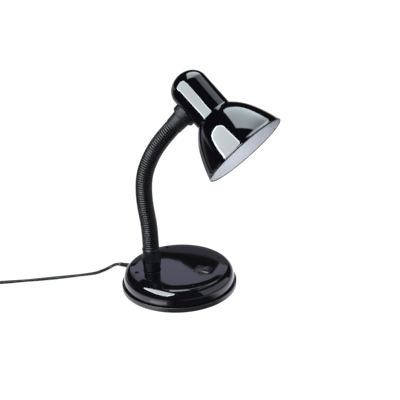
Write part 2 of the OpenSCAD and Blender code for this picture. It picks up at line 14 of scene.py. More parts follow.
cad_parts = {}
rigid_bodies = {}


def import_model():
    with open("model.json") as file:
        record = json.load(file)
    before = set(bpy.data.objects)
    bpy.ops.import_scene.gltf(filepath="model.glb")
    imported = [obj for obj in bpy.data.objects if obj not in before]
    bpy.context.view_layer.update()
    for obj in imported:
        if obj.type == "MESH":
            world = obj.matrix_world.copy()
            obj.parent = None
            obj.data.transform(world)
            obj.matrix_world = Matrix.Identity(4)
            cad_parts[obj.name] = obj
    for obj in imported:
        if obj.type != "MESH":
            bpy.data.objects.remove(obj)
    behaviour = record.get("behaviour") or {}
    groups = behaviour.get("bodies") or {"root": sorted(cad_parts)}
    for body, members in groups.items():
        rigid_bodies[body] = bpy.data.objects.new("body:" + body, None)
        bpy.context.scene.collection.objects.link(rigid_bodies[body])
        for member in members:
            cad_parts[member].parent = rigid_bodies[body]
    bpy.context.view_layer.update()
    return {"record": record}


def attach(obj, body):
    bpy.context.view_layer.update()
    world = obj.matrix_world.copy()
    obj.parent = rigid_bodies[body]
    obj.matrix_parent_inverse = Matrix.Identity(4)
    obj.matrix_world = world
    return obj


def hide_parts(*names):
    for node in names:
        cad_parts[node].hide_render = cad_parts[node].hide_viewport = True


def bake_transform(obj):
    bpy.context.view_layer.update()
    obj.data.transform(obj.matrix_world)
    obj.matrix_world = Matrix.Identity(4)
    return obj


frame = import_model()

# %% [markdown]
# ## Camera
# The camera stands a little above the lamp and looks down at it. Its place and its three axes
# are written out, because a long lens turned by a degree already moves the rim by a pixel.
# The axes are made square to each other again, so that rounding leaves no skew in them.

# %% Camera
EYE = Vector((0.38684, -0.69299, 0.43917))
BACK = Vector((0.42070, -0.82567, 0.37587)).normalized()
RIGHT = Vector((0.89547, 0.44435, -0.02618))
LENS = 61.35

up = BACK.cross(RIGHT).normalized()
right = up.cross(BACK)
camera = bpy.data.objects.new("camera", bpy.data.cameras.new("camera"))
camera.data.lens = LENS
camera.data.sensor_width = 36
camera.data.clip_start = 0.01
camera.matrix_world = Matrix((
    (right.x, up.x, BACK.x, EYE.x),
    (right.y, up.y, BACK.y, EYE.y),
    (right.z, up.z, BACK.z, EYE.z),
    (0, 0, 0, 1)))
bpy.context.scene.collection.objects.link(camera)
bpy.context.scene.camera = camera
print("camera at", tuple(round(v, 3) for v in EYE))

# %% [markdown]
# ## Units
# The sizes are written in millimetres and one factor turns them into metres. Three are shared by
# several pieces. The others stand in the cells of their pieces. They are the solid model's own
# sizes, so that a skin lies on its solid. Where a skin differs a little, a comment says so.

# %% Units and shared sizes
MM = 0.001
BASE_TOP = 27 * MM  # height of the base's flat top
SWITCH_X = 36 * MM  # the switch sits in front of the base's middle
CORD_D = 4.4 * MM
print("base top", BASE_TOP, "m, lead", CORD_D, "m across")

# %% [markdown]
# ## Mesh helpers
# Nearly every piece of this lamp is turned or moulded round, so most of them are a profile that
# a spin carries round an axis. The helper closes the profile into a loop where the piece has a
# wall. Doubles on the axis are merged before the normals are worked out, since a spin may leave
# the faces looking inwards.

# %% Turned shapes
WELD = 1e-6  # points closer than this become one


def arc(centre, radius, start, end, steps):
    """Points of an arc in the profile's plane, angles in degrees."""
    turns = [math.radians(start + (end - start) * i / steps) for i in range(steps + 1)]
    return [(centre[0] + radius * math.cos(a), centre[1] + radius * math.sin(a)) for a in turns]


def turned(profile, steps, closed=True):
    """Spin a profile of (radius, height) points round Z."""
    bm = bmesh.new()
    verts = [bm.verts.new((r, 0, z)) for r, z in profile]
    pairs = list(zip(verts, verts[1:])) + ([(verts[-1], verts[0])] if closed else [])
    edges = [bm.edges.new(p) for p in pairs]
    bmesh.ops.spin(bm, geom=verts + edges, cent=(0, 0, 0), axis=(0, 0, 1), steps=steps,
                   angle=2 * math.pi, use_merge=True)
    return tidy(bm)


def tidy(bm):
    """Merge doubles and turn every face outwards."""
    bmesh.ops.remove_doubles(bm, verts=bm.verts, dist=WELD)
    bmesh.ops.dissolve_degenerate(bm, edges=bm.edges, dist=WELD)
    bmesh.ops.recalc_face_normals(bm, faces=bm.faces)
    return bm


print("an arc of 3 steps:", arc((0, 0), 1, 0, 90, 3))

# %% [markdown]
# A finished piece is one mesh object at the origin. Its edges stay soft where two faces meet at
# a small angle and sharp elsewhere, which keeps long reflections smooth on gloss paint without
# rounding off the real corners.

# %% Placing pieces
def soften(mesh, sharp=38):
    """Smooth shading, with hard edges where faces meet at more than an angle in degrees."""
    for face in mesh.polygons:
        face.use_smooth = True
    mesh.set_sharp_from_angle(angle=math.radians(sharp))


def place(bm, name, material, body, hides=(), where=None, sharp=38):
    """Turn a bmesh into a piece that rides on a body and stands for CAD nodes."""
    if where is not None:
        bmesh.ops.transform(bm, matrix=where, verts=bm.verts)
    mesh = bpy.data.meshes.new(name)
    bm.to_mesh(mesh)
    bm.free()
    soften(mesh, sharp)
    for m in material if isinstance(material, (list, tuple)) else [material]:
        mesh.materials.append(m)
    piece = bpy.data.objects.new(name, mesh)
    bpy.context.scene.collection.objects.link(piece)
    if body:
        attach(piece, body)
    if hides:
        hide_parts(*hides)
    return piece


# %% [markdown]
# A moulded block starts as a box. Pushing out one of its faces and rounding its edges gives the
# switch its parts.

# %% Blocks
def block(size, centre):
    """A box with sharp edges."""
    bm = bmesh.new()
    bmesh.ops.create_cube(bm, size=1)
    bmesh.ops.scale(bm, vec=size, verts=bm.verts)
    bmesh.ops.translate(bm, vec=centre, verts=bm.verts)
    return bm


def push(bm, face, by):
    """Extrude a face and move the new face by a vector."""
    pushed = bmesh.ops.extrude_face_region(bm, geom=[face])
    bmesh.ops.translate(bm, vec=by,
                        verts=[v for v in pushed["geom"] if isinstance(v, bmesh.types.BMVert)])


def round_edges(bm, offset):
    """Turn every face outwards and bevel every edge."""
    bmesh.ops.recalc_face_normals(bm, faces=bm.faces)
    bmesh.ops.bevel(bm, geom=bm.edges[:], offset=offset, segments=3, profile=0.5, affect="EDGES",
                    material=-1)


print("a block has", len(block((1, 1, 1), (0, 0, 0)).faces), "faces")

# %% [markdown]
# Holes are cut with the Boolean modifier. One exact cut leaves clean edges round a window in a
# curved skin, which would be hard to build into the skin's own rows of faces. All the cutters of a
# piece go into one mesh, so that the cut is made once.

# %% Holes
def carve(piece, cutters):
    """Cut holes with closed bmeshes and keep the result as the piece's own mesh."""
    mesh = bpy.data.meshes.new("cutter")
    whole = bmesh.new()
    for part in cutters:
        part.to_mesh(mesh)
        part.free()
        whole.from_mesh(mesh)
    whole.to_mesh(mesh)
    whole.free()
    cutter = bpy.data.objects.new("cutter", mesh)
    bpy.context.scene.collection.objects.link(cutter)
    cut = piece.modifiers.new("cut", "BOOLEAN")
    cut.object = cutter
    cut.solver = "EXACT"  # copes with faces that lie in one plane
    graph = bpy.context.evaluated_depsgraph_get()
    result = bpy.data.meshes.new_from_object(piece.evaluated_get(graph))
    piece.modifiers.clear()
    old, piece.data = piece.data, result
    bpy.data.meshes.remove(old)
    bpy.data.objects.remove(cutter)
    bpy.data.meshes.remove(mesh)
    soften(result)


print("meshes before the first piece:", len(bpy.data.meshes))

# %% [markdown]
# ## Shader helpers
# A finish is easier to read as a formula than as a web of nodes. `Wire` wraps one output socket,
# and adding, subtracting or multiplying wires adds the Math nodes.

# %% Wires
class Wire:
    """One output socket that Python operators can work on."""

    def __init__(self, web, socket):
        self.web = web
        self.socket = socket

    def math(self, operation, other, swap=False):
        inputs = {1: self, 0: other} if swap else {0: self, 1: other}
        return self.web.node("ShaderNodeMath", {"operation": operation}, inputs)

    def __add__(self, other):
        return self.math("ADD", other)

    def __sub__(self, other):
        return self.math("SUBTRACT", other)

    def __rsub__(self, other):
        return self.math("SUBTRACT", other, swap=True)

    def __mul__(self, other):
        return self.math("MULTIPLY", other)

    __radd__ = __add__
    __rmul__ = __mul__

    def clamp(self):
        return self.web.node("ShaderNodeClamp", {}, {0: self})


print("a wire answers to", ", ".join(name for name in vars(Wire) if "_" not in name))

# %% [markdown]
# `Web` stands for a whole node tree. Its `node` adds any node from its type, its settings and its
# inputs, and the other methods name the nodes that the finishes below need most.

# %% Webs
class Web:
    """The node tree of a material or of the world."""

    def __init__(self, tree):
        self.tree = tree

    def node(self, kind, settings, inputs, output=0):
        made = self.tree.nodes.new(kind)
        for key, value in settings.items():
            setattr(made, key, value)
        for key, value in inputs.items():
            if isinstance(value, Wire):
                self.tree.links.new(value.socket, made.inputs[key])
            else:
                made.inputs[key].default_value = value
        return Wire(self, made.outputs[output])

    def place(self):
        return self.node("ShaderNodeTexCoord", {}, {}, "Object")

    def noise(self, scale, detail):
        return self.node("ShaderNodeTexNoise", {}, {
            "Vector": self.place(), "Scale": scale, "Detail": detail, "Roughness": 0.55})

    def blend(self, mask, low, high):
        """A colour that goes from low to high with the mask."""
        return self.node("ShaderNodeMix", {"data_type": "RGBA"}, {
            0: mask, 6: (*low, 1), 7: (*high, 1)}, 2)

    def rise(self, value, low, high):
        """0 below low, 1 above high and smooth between them."""
        return self.node("ShaderNodeMapRange", {"interpolation_type": "SMOOTHSTEP"}, {
            0: value, 1: low, 2: high, 3: 0.0, 4: 1.0})

    def vector(self, operation, *inputs, output=0):
        return self.node("ShaderNodeVectorMath", {"operation": operation},
                         dict(enumerate(inputs)), output)

    def dot(self, vector, direction):
        return self.vector("DOT_PRODUCT", vector, direction, output=1)

    def ray(self, kind):
        """1 for rays of that kind, else 0."""
        return self.node("ShaderNodeLightPath", {}, {}, kind)

    def in_mirror(self):
        """1 for rays that a gloss or a clear surface sends out, else 0."""
        return (self.ray("Is Glossy Ray") + self.ray("Is Transmission Ray")).clamp()


print("a web has", sum(not name.startswith("_") for name in dir(Web)), "helpers")

# %% [markdown]
# `Finish` is a material with one Principled shader. Its plain values go straight onto the shader's
# own sockets, so that a reader finds them there.

# %% Finishes
class Finish(Web):
    """A material with one Principled shader."""

    def __init__(self, name, colour, roughness, **shader):
        self.material = bpy.data.materials.new(name)
        self.material.use_nodes = True
        super().__init__(self.material.node_tree)
        self.shader = self.tree.nodes["Principled BSDF"]
        self.set("Base Color", (*colour, 1))
        self.set("Roughness", roughness)
        for key, value in shader.items():
            self.set(key.replace("_", " "), value)

    def set(self, socket, value):
        if isinstance(value, Wire):
            self.tree.links.new(value.socket, self.shader.inputs[socket])
        else:
            self.shader.inputs[socket].default_value = value

    def bump(self, height, depth, strength):
        self.set("Normal", self.node("ShaderNodeBump", {}, {
            "Height": height, "Distance": depth, "Strength": strength}))


print("a finish adds", ", ".join(sorted(set(dir(Finish)) - set(dir(Web)))))

# %% [markdown]
# ## The neck's line
# The neck is a chain of eight short arcs, all in one upright plane that is turned a little from
# straight ahead. `neck_frame` gives the frame at any distance along it: Z runs along the neck, X
# points to the inside of the bend. The head's parts and the shade hang on the frame at its end.

# %% The neck's line
NECK_X = -41 * MM  # the neck stands behind the base's middle
NECK_START = 45.5 * MM  # height of the lowest joint
SEGMENT = 22.25 * MM  # from one joint to the next
BENDS = (-2, -6.5, 5.5, 8, 15.5, 10, 9, 4.5)  # how far each length bends, in degrees
AZIMUTH = math.radians(18)  # how far the neck's plane is turned


def arc_step(length, bend):
    """Where an arc of that length and bend ends: forward, up."""
    if abs(bend) < 1e-9:
        return 0.0, length
    radius = length / bend
    return radius * (1 - math.cos(bend)), radius * math.sin(bend)


def neck_frame(distance):
    """The frame of the neck's centreline at a distance from its lowest joint."""
    forward = rise = lean = 0.0
    left = distance
    for number, bend in enumerate(math.radians(b) for b in BENDS):
        last = number == len(BENDS) - 1
        part = left if left < SEGMENT or last else SEGMENT
        turn = bend * part / SEGMENT
        dx, dz = arc_step(part, turn)
        forward, rise = (forward + dx * math.cos(lean) + dz * math.sin(lean),
                         rise - dx * math.sin(lean) + dz * math.cos(lean))
        lean += turn
        left -= part
        if left <= 0:
            break
    return (Matrix.Translation((NECK_X, 0, NECK_START)) @ Matrix.Rotation(AZIMUTH, 4, "Z")
            @ Matrix.Translation((forward, 0, rise)) @ Matrix.Rotation(lean, 4, "Y"))


NECK_LEN = SEGMENT * len(BENDS)
NECK_END = neck_frame(NECK_LEN)
print("neck ends at", tuple(round(v, 4) for v in NECK_END.translation))

# %% [markdown]
# The head is turned back about the neck's end by the angle that the neck's plane is turned. The
# shade's axis lies across the neck's end, and the neck enters the side of the cap.

# %% The head's and the shade's frames
CAP_R = 24.3 * MM
FERRULE = 16.2 * MM  # length of the ferrule
FLANGE = 6.2 * MM  # thickness of the flange at its middle
NECK_ENTRY = 83.5 * MM  # from the shade's rim to the neck, along the shade's axis
HEAD_OFFSET = FERRULE + FLANGE + CAP_R
HEAD = NECK_END @ Matrix.Rotation(-AZIMUTH, 4, "Z")
SHADE = HEAD @ Matrix.Translation((NECK_ENTRY, 0, HEAD_OFFSET)) @ Matrix.Rotation(-math.pi / 2, 4, "Y")
print("shade's rim at", tuple(round(v, 4) for v in SHADE.translation))

# %% [markdown]
# ## The mains lead
# A lead has a fixed length, so it is settled before anything else that the camera sees. It
# leaves the rear of the base, drops to the table, runs off to the side and ends in a neat coil
# with the plug beside it. The points of the loose stretches are listed in millimetres.

# %% The loose stretches
LEAD_REST = 2.3  # height of the lead's middle on the table
LEAD_DROP = [(-93, 0, 8.8), (-97, -0.5, 8), (-100.5, -1.7, 6.8), (-103.5, -3.6, 5.2),
             (-106.2, -6.2, 3.7), (-108.4, -9.3, 2.7)]
LEAD_RUN = [(x, y, LEAD_REST) for x, y in (
    (-110.2, -12.8), (-111.8, -16.6), (-113.2, -20.2), (-115.2, -23.8), (-118, -27), (-122, -30.6),
    (-130, -37), (-142, -46.4), (-156, -56.8), (-170, -66.8), (-184, -76.4), (-198, -85.6),
    (-212, -94.6), (-225, -102.6), (-237.6, -110.9), (-248.4, -119.9))]
LEAD_END = [(-254.5, -172.8, LEAD_REST), (-250, -176.2, 2.4), (-243.5, -180, 2.9), (-236.4, -183, 3.9),
            (-229, -185.2, 5.1), (-221, -186.8, 6), (-213, -188, 6.5)]
print("loose points:", len(LEAD_DROP + LEAD_RUN), "before the coil and", len(LEAD_END), "after it")

# %% [markdown]
# The coil is wound as a hand would wind it: one layer spirals in, the next spirals out on top of it,
# and the last turn comes down the outside to the table. Its turns are worked out instead of drawn,
# so that they lie side by side and never cut into each other.

# %% The coil
COIL = (-236 * MM, -146 * MM)
COIL_R = 28 * MM
COIL_FROM, COIL_TO = math.radians(134), math.radians(225)
COIL_TURNS = 10
COIL_LAYERS = 4
COIL_PITCH = 0.95 * CORD_D
LAYER_RISE = 0.88 * CORD_D
CLIMB = 0.4  # part of a turn that climbs to the next layer


def ease(x):
    """A smooth step from 0 to 1."""
    x = min(1.0, max(0.0, x))
    return x * x * (3 - 2 * x)


def coil_turns(per_turn=20):
    """Points of the coil, from the angle where the lead comes in to the one where it leaves."""
    total = COIL_TURNS + (COIL_TO - COIL_FROM) / (2 * math.pi)
    stacked = total - 1
    in_layer = stacked / COIL_LAYERS
    steps = round(per_turn * total)
    points = []
    for i in range(steps + 1):
        turns = total * i / steps
        layer = min(int(turns / in_layer), COIL_LAYERS - 1)
        part = turns - layer * in_layer
        drift = part if layer % 2 == 0 else in_layer - part
        level = layer + (ease((part - in_layer + CLIMB) / CLIMB) if layer < COIL_LAYERS - 1 else 0)
        if turns > stacked:
            down = turns - stacked
            drift = -ease(down * 1.6)
            level = (COIL_LAYERS - 1) * (1 - down ** 1.5)
        a = COIL_FROM + 2 * math.pi * turns
        r = COIL_R - drift * COIL_PITCH
        points.append((COIL[0] + r * math.cos(a), COIL[1] + r * math.sin(a),
                       LEAD_REST * MM + level * LAYER_RISE))
    return points


route = [tuple(c * MM for c in p) for p in LEAD_DROP + LEAD_RUN]
route += coil_turns()
route += [tuple(c * MM for c in p) for p in LEAD_END]
length = sum((Vector(b) - Vector(a)).length for a, b in zip(route, route[1:]))
print("lead", round(length, 3), "m,", len(route), "points")

# %% [markdown]
# ## Finishes
# The lamp is black all over, so the finishes differ mostly in gloss: mirror-like moulded plastic
# and enamel, a satin neck, a duller cover under the base. Even a mirror gloss is never perfect,
# so each one gets a faint waviness and a few duller touches. Noise drives both, because it has no
# edges or repeats that the eye could find.

# %% Gloss finishes
def gloss(name, colour, roughness=0.05, ripple=0.00002, wave=90):
    """Polished plastic or enamel with a faint orange peel and a few duller touches."""
    f = Finish(name, colour, roughness, IOR=1.5)
    touch = f.noise(38, 4)
    f.set("Roughness", (roughness + (touch - 0.45).clamp() * 0.12).clamp())
    f.bump(f.noise(wave, 2), ripple, 0.12)
    return f.material


shell_black = gloss("shell_black", (0.005, 0.005, 0.0065))
shade_black = gloss("shade_black", (0.003, 0.003, 0.0045), roughness=0.04, wave=60)
switch_black = gloss("switch_black", (0.012, 0.012, 0.014), roughness=0.12)
print("gloss finishes:", shell_black.name, shade_black.name, switch_black.name)

# %% [markdown]
# The white inside of the shade is baked enamel, smooth but diffuse, with a slightly blue white.
# The neck's sleeve and its end pieces are satin plastic with the fine texture of the mould.

# %% Satin finishes
def satin(name, colour, roughness, grain, depth, lighter=1.6, worn=0.0, **shader):
    """Moulded plastic or rubber with a fine grain. Its grooves stay duller by worn."""
    f = Finish(name, colour, roughness, **shader)
    patch = f.noise(60, 4)
    f.set("Base Color", f.blend(patch, colour, tuple(min(1.0, c * lighter) for c in colour)))
    dull = patch * 0.06
    if worn:
        dull = dull + f.node("ShaderNodeAttribute", {"attribute_name": "groove"}, {}, "Fac") * worn
    f.set("Roughness", (roughness - 0.03 + dull).clamp())
    f.bump(f.noise(grain, 2), depth, 0.35)
    return f.material


neck_black = satin("neck_black", (0.002, 0.002, 0.003), 0.31, 1400, 0.00001, worn=0.06, IOR=1.36)
fitting_black = satin("fitting_black", (0.004, 0.004, 0.0055), 0.44, 1400, 0.00004, IOR=1.24)
plate_dark = satin("plate_dark", (0.015, 0.015, 0.018), 0.36, 1200, 0.00005)
foot_rubber = satin("foot_rubber", (0.045, 0.045, 0.045), 0.75, 900, 0.0001)
cord_black = satin("cord_black", (0.006, 0.006, 0.008), 0.42, 1500, 0.00004, IOR=1.33)
enamel_white = satin("enamel_white", (0.76, 0.79, 0.87), 0.32, 500, 0.00002, lighter=1.04)
holder_cream = satin("holder_cream", (0.78, 0.75, 0.67), 0.28, 700, 0.00002, lighter=1.06)
lead_grey = satin("lead_grey", (0.62, 0.62, 0.59), 0.45, 900, 0.00003, lighter=1.1)
bulb_glass = satin("bulb_glass", (0.86, 0.86, 0.84), 0.22, 400, 0.00001, lighter=1.03)
print("satin finishes:", neck_black.name, plate_dark.name, cord_black.name)

# %% [markdown]
# Metal parts hide inside the lamp for the most part. Zinc plating gets a cloudy spangle and brass
# darkens in patches.

# %% Metal finishes
def metal(name, low, high, roughness, cloud):
    """Plated or rolled metal with a cloudy colour."""
    f = Finish(name, low, roughness, Metallic=1.0)
    mist = f.noise(cloud, 4)
    f.set("Base Color", f.blend(mist, low, high))
    f.set("Roughness", (roughness - 0.08 + mist * 0.16).clamp())
    f.bump(f.noise(2600, 2), 0.00002, 0.2)
    return f.material


zinc_steel = metal("zinc_steel", (0.50, 0.51, 0.53), (0.66, 0.67, 0.69), 0.32, 130)
ballast_steel = metal("ballast_steel", (0.20, 0.20, 0.21), (0.32, 0.31, 0.30), 0.55, 70)
brass = metal("brass", (0.62, 0.44, 0.18), (0.80, 0.62, 0.30), 0.26, 160)
bulb_metal = metal("bulb_metal", (0.70, 0.70, 0.70), (0.84, 0.84, 0.84), 0.30, 120)
print("metal finishes:", zinc_steel.name, brass.name)

# %% [markdown]
# ## Nodes that keep their own shape
# Most small solids inside the lamp are right as they are and only need a finish. The record
# gives each node a material slot, so one table from slot to finish serves them all.

# %% Finish the carried-over nodes
FINISHES = {
    "shell_black": shell_black, "plate_dark": plate_dark, "foot_rubber": foot_rubber,
    "ballast_steel": ballast_steel, "zinc_steel": zinc_steel, "neck_black": neck_black,
    "switch_black": switch_black, "brass": brass, "shade_black": shade_black,
    "holder_cream": holder_cream, "lead_grey": lead_grey, "cord_black": cord_black,
    "bulb_glass": bulb_glass, "bulb_metal": bulb_metal}
for entry in frame["record"]["subparts"]:
    solid = bpy.data.objects[entry["node"]]
    solid.data.materials.clear()
    solid.data.materials.append(FINISHES[entry["material_slot"]])

# %% [markdown]
# ## The lead
# The lead is a parallel twin flex: two round cores side by side under one skin. Its route is a
# row of points, and a smooth curve through them keeps its bends free of corners.

# %% Smooth lines
def smooth_line(points, parts):
    """A smooth curve through the points."""
    line = []
    for i in range(len(points) - 1):
        a, b, c, d = (Vector(points[min(max(i + k, 0), len(points) - 1)]) for k in (-1, 0, 1, 2))
        for j in range(parts):
            t = j / parts
            line.append(0.5 * (2 * b + (c - a) * t + (2 * a - 5 * b + 4 * c - d) * t * t
                               + (3 * b - a - 3 * c + d) * t ** 3))
    return line + [Vector(points[-1])]


corner = [(0, 0, 0), (1, 0, 0), (1, 1, 0)]
print("a line round a corner has", len(smooth_line(corner, 4)), "points")

# %% [markdown]
# A sweep carries an outline along a line, one ring of points at a time, and bridges each ring to
# the next. A curve object with a tilt at each point could do it too. A mesh is made here, because
# every other piece is one.

# %% Sweeps
def sweep(points, outline, twist):
    """Carry an outline of (across, up) points along a line, turning it by twist a metre."""
    bm = bmesh.new()
    rows = []
    travelled = 0.0
    for i, point in enumerate(points):
        here = Vector(point)
        ahead = Vector(points[min(i + 1, len(points) - 1)])
        behind = Vector(points[max(i - 1, 0)])
        along = (ahead - behind).normalized()
        side = along.cross(Vector((0, 0, 1))).normalized()
        above = side.cross(along)
        if i:
            travelled += (here - Vector(points[i - 1])).length
        c, s = math.cos(twist * travelled), math.sin(twist * travelled)
        rows.append([bm.verts.new(here + side * (x * c - y * s) + above * (x * s + y * c))
                     for x, y in outline])
    for row in rows:
        for pair in zip(row, row[1:] + row[:1]):
            bm.edges.new(pair)
    for low, high in zip(rows, rows[1:]):
        loop = [e for row in (low, high) for v in row for e in v.link_edges
                if e.other_vert(v) in row]
        bmesh.ops.bridge_loops(bm, edges=list(dict.fromkeys(loop)))
    bmesh.ops.holes_fill(bm, edges=bm.edges[:], sides=0)
    bmesh.ops.recalc_face_normals(bm, faces=bm.faces)
    return bm


print("a sweep round a corner has", len(sweep(corner, [(0, 0), (1, 0), (0, 1)], 0).faces), "faces")

# %% [markdown]
# The outline is a figure eight with a groove between the two cores. It twists slowly along the
# route, as such a lead does when it comes off a reel. The base grips one end, so the lead rides on
# the base, and the plug goes with it.

# %% The lead
FLEX_HEIGHT = 0.80 * CORD_D
FLEX_TWIST = 45  # radians in a metre


def twin_outline(width, height, steps=7):
    """Two cores side by side, with a groove between them."""
    r = height / 2
    shift = width / 2 - r
    right_side = [(shift + r * math.cos(math.radians(a)), r * math.sin(math.radians(a)))
                  for a in [-115 + 230 * i / steps for i in range(steps + 1)]]
    return right_side + [(-x, -y) for x, y in right_side]


lead_line = smooth_line(route, 2)
lead_skin = sweep(lead_line, twin_outline(CORD_D, FLEX_HEIGHT), twist=FLEX_TWIST)
lead = place(lead_skin, "mains_lead", cord_black, "base", hides=("cord", "cord_coil", "cord_end"),
             sharp=60)
tuple(route[0])
print("lead:", len(lead.data.polygons), "faces")

# %% [markdown]
# ## The base
# The base is a moulded shell on a flat bottom cover. The wall rises behind the cover's rim and
# rolls over a wide shoulder into a crisp ridge, and the top inside the ridge is almost flat. A
# formula for the top's height keeps its slope even, because gloss black shows every kink.

# %% The base's outline
WALL_R = 72.2 * MM  # 0.8 mm further in than the solid's wall
SHOULDER_R = 14.4 * MM  # 0.3 mm less than the solid's
SHELL_WALL = 2.4 * MM
SHELL_FOOT = 4 * MM  # the wall ends behind the cover's lip
WALL_FOOT = 8 * MM  # the wall leans in a little below this height
RIDGE_R = 63.8 * MM
RIDGE_EDGE = 0.35 * MM  # width of the ridge's rounding
FLAT_R = 54 * MM
SHOULDER = (WALL_R - SHOULDER_R, BASE_TOP - SHOULDER_R)
ridge_turn = math.degrees(math.acos((RIDGE_R - SHOULDER[0]) / SHOULDER_R))
RIDGE_Z = SHOULDER[1] + SHOULDER_R * math.sin(math.radians(ridge_turn))
CROWN_TILT = math.radians(9)  # slope of the top just inside the ridge
crown_w = RIDGE_R - FLAT_R
CROWN_R = ((crown_w * math.tan(CROWN_TILT) - (BASE_TOP - RIDGE_Z))
           / (math.sin(CROWN_TILT) * math.tan(CROWN_TILT) - 1 + math.cos(CROWN_TILT)))


def top_height(r):
    """Height of the base's top at a distance from its middle: flat, then an arc, then a slope."""
    if r < FLAT_R:
        return BASE_TOP
    if r < FLAT_R + CROWN_R * math.sin(CROWN_TILT):
        return BASE_TOP - CROWN_R + math.sqrt(CROWN_R ** 2 - (r - FLAT_R) ** 2)
    return RIDGE_Z + (RIDGE_R - r) * math.tan(CROWN_TILT)


crown = [RIDGE_R - RIDGE_EDGE - crown_w * i / 16 for i in range(17)]
outer = [(WALL_R - 0.3 * MM, SHELL_FOOT), (WALL_R - 0.05 * MM, WALL_FOOT)]
outer += arc(SHOULDER, SHOULDER_R, 0, ridge_turn - 1.2, 26)
outer += [(RIDGE_R - 0.03 * MM, RIDGE_Z + 0.03 * MM)] + [(r, top_height(r)) for r in crown]
outer += [(50 * MM, BASE_TOP), (25 * MM, BASE_TOP), (0, BASE_TOP)]
inner = [(0, BASE_TOP - SHELL_WALL), (50 * MM, BASE_TOP - SHELL_WALL)]
inner += arc(SHOULDER, SHOULDER_R - SHELL_WALL, ridge_turn, 0, 8) + [(WALL_R - SHELL_WALL, SHELL_FOOT)]
print("ridge at", round(RIDGE_Z / MM, 2), "mm,", len(outer + inner), "points")

# %% [markdown]
# The shell is that outline spun round. Four small pits in the top mark the screw posts under it.
# Their sides are straight, because a slanted side would catch a glint. A window takes the switch
# and a hole takes the neck's threaded foot.

# %% Base shell
POST_RING = 56.4 * MM
PIT_R, PIT_DEPTH, PIT_EDGE = 2.7 * MM, 1.8 * MM, 0.2 * MM  # deeper than the solid's
shell = place(turned(outer + inner, 192), "base_shell_skin", shell_black, "base",
              hides=("base_shell",), sharp=60)


def pin(radius, low, high, at=(0, 0), steps=40):
    """A closed cylinder, used for cutting."""
    bm = turned([(0, low), (radius, low), (radius, high), (0, high)], steps, closed=False)
    bmesh.ops.translate(bm, vec=(at[0], at[1], 0), verts=bm.verts)
    return bm


def pit(at):
    """A cutter for one pit, with a softened edge. It stands a millimetre above the top."""
    edge = arc((PIT_R + PIT_EDGE, BASE_TOP - PIT_EDGE), PIT_EDGE, 180, 95, 4)
    bm = turned([(0, BASE_TOP - PIT_DEPTH), (PIT_R, BASE_TOP - PIT_DEPTH)] + edge
                + [(PIT_R + PIT_EDGE, BASE_TOP + MM), (0, BASE_TOP + MM)], 40, closed=False)
    bmesh.ops.translate(bm, vec=at, verts=bm.verts)
    return bm


posts = [(POST_RING * math.cos(math.radians(a)), POST_RING * math.sin(math.radians(a)), 0)
         for a in (45, 135, 225, 315)]
window = block((19.5 * MM, 13.3 * MM, 10 * MM), (SWITCH_X, 0, BASE_TOP))
carve(shell, [pit(at) for at in posts] + [window, pin(5.3 * MM, 20 * MM, 32 * MM, (NECK_X, 0))])
print("base shell:", len(shell.data.polygons), "faces")

# %% [markdown]
# The bottom cover is a separate moulding. Its rim stands up as a narrow rounded lip, and a dark
# groove stays between the lip and the wall. The rubber ring in its underside is what the lamp
# stands on, so the cover starts just above the table.

# %% Bottom cover
BASE_R = 75 * MM
FOOT_H = 1.2 * MM  # height of the cover's flat underside
PLATE_RIM = 6.3 * MM  # top of the lip, 0.7 mm below the solid's
LIP = 1.2 * MM  # thickness of the lip
RING_IN, RING_OUT = 60.2 * MM, 69.8 * MM
seat = FOOT_H + 0.5 * MM
rim = [(0, FOOT_H), (RING_IN - 0.3 * MM, FOOT_H), (RING_IN - 0.3 * MM, seat),
       (RING_OUT + 0.3 * MM, seat), (RING_OUT + 0.3 * MM, FOOT_H)]
rim += arc((BASE_R - 0.8 * MM, 0.9 * MM), 0.8 * MM, -90, 0, 8)
rim += arc((BASE_R - LIP / 2, PLATE_RIM - LIP / 2), LIP / 2, 0, 180, 12)
rim += [(BASE_R - LIP, PLATE_RIM - 2.4 * MM), (66 * MM, PLATE_RIM - 2.4 * MM),
        (66 * MM, FOOT_H + 2 * MM), (0, FOOT_H + 2 * MM)]
cover = place(turned(rim, 192, closed=False), "bottom_cover", plate_dark, "base",
              hides=("bottom_plate",))
foot_profile = [(RING_IN, 0.25 * MM), (RING_IN + 0.3 * MM, 0), (RING_OUT - 0.3 * MM, 0),
                (RING_OUT, 0.25 * MM), (RING_OUT, 1.6 * MM), (RING_IN, 1.6 * MM)]
foot = place(turned(foot_profile, 144), "foot_ring_skin", foot_rubber, "base",
             hides=("foot_ring",))
print("bottom cover:", len(cover.data.polygons), "faces, foot ring:", len(foot.data.polygons))

# %% [markdown]
# ## The strain relief
# A tapered sleeve keeps the lead from bending sharply at the wall. Its rings let it flex. One loop
# adds them to the profile, each a little smaller than the one before.

